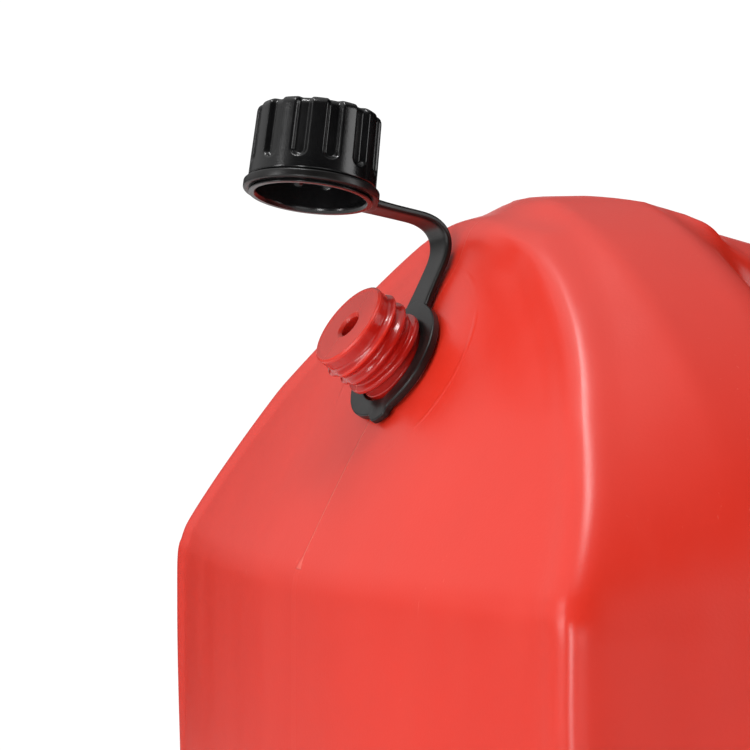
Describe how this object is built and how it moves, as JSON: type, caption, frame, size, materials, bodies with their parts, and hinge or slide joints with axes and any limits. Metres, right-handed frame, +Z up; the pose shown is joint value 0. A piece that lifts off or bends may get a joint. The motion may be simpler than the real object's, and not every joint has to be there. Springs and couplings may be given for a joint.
{
  "type": "gas can",
  "caption": "Blow-moulded fuel can with an arched rear vent panel, an open hand hole, a tethered screw vent cap standing open and a screw-on pour spout",
  "frame": {"origin": "On the floor, under the middle of the tank's length and width", "axes": "+X toward the spout, -X toward the vent cap, +Y to the side away from the picture's viewer, +Z up"},
  "size_m": [0.3797, 0.1886, 0.3715],
  "materials": {
    "can": "satin blow-moulded polyethylene with a fine grain",
    "trim": "soft satin polyethylene strap",
    "cap": "semi-gloss moulded polypropylene",
    "liner": "foamed sealing disc",
    "gasket": "nitrile rubber",
    "spout": "satin moulded polyethylene"
  },
  "bodies": {
    "can": {"can_body": "can"},
    "tether": {"vent_ring": "trim", "vent_strap": "trim"},
    "cap_carrier": {"vent_cap_ring": "trim"},
    "vent_cap": {"vent_cap": "cap", "vent_cap_liner": "liner"},
    "spout": {"spout": "spout", "spout_gasket": "gasket"},
    "collar": {"spout_collar": "cap"},
    "tip_cap": {"spout_tip_cap": "cap"}
  },
  "joints": [
    {"name": "tether_swivel", "type": "hinge", "parent": "can", "child": "tether", "pos_m": [-0.11289, 0, 0.24645], "axis": [-0.8519, 0, 0.5237], "continuous": true},
    {"name": "vent_cap_swing", "type": "hinge", "parent": "tether", "child": "cap_carrier", "pos_m": [-0.10958, 0.00506, 0.27015], "axis": [0.1178, -0.9744, 0.1916], "range_deg": [-20, 65], "stiffness_Nm_per_rad": 0.05, "deforming": ["vent_strap"]},
    {"name": "vent_cap_spin", "type": "hinge", "parent": "cap_carrier", "child": "vent_cap", "pos_m": [-0.13032, 0.00452, 0.28016], "axis": [0.217, 0.2136, 0.9525], "continuous": true},
    {"name": "spout_lift", "type": "slide", "parent": "can", "child": "spout", "axis": [0.6293, 0, 0.7771], "range_m": [0, 0.01907]},
    {"name": "collar_turn", "type": "hinge", "parent": "spout", "child": "collar", "pos_m": [0.10414, 0, 0.2118], "axis": [0.6293, 0, 0.7771], "range_deg": [0, 1080]},
    {"name": "tip_cap_pull", "type": "slide", "parent": "spout", "child": "tip_cap", "axis": [0.6293, 0, 0.7771], "range_m": [0, 0.035]}
  ],
  "couplings": [
    {"joint": "spout_lift", "follows": "collar_turn", "m_per_rad": 0.0010106}
  ]
}
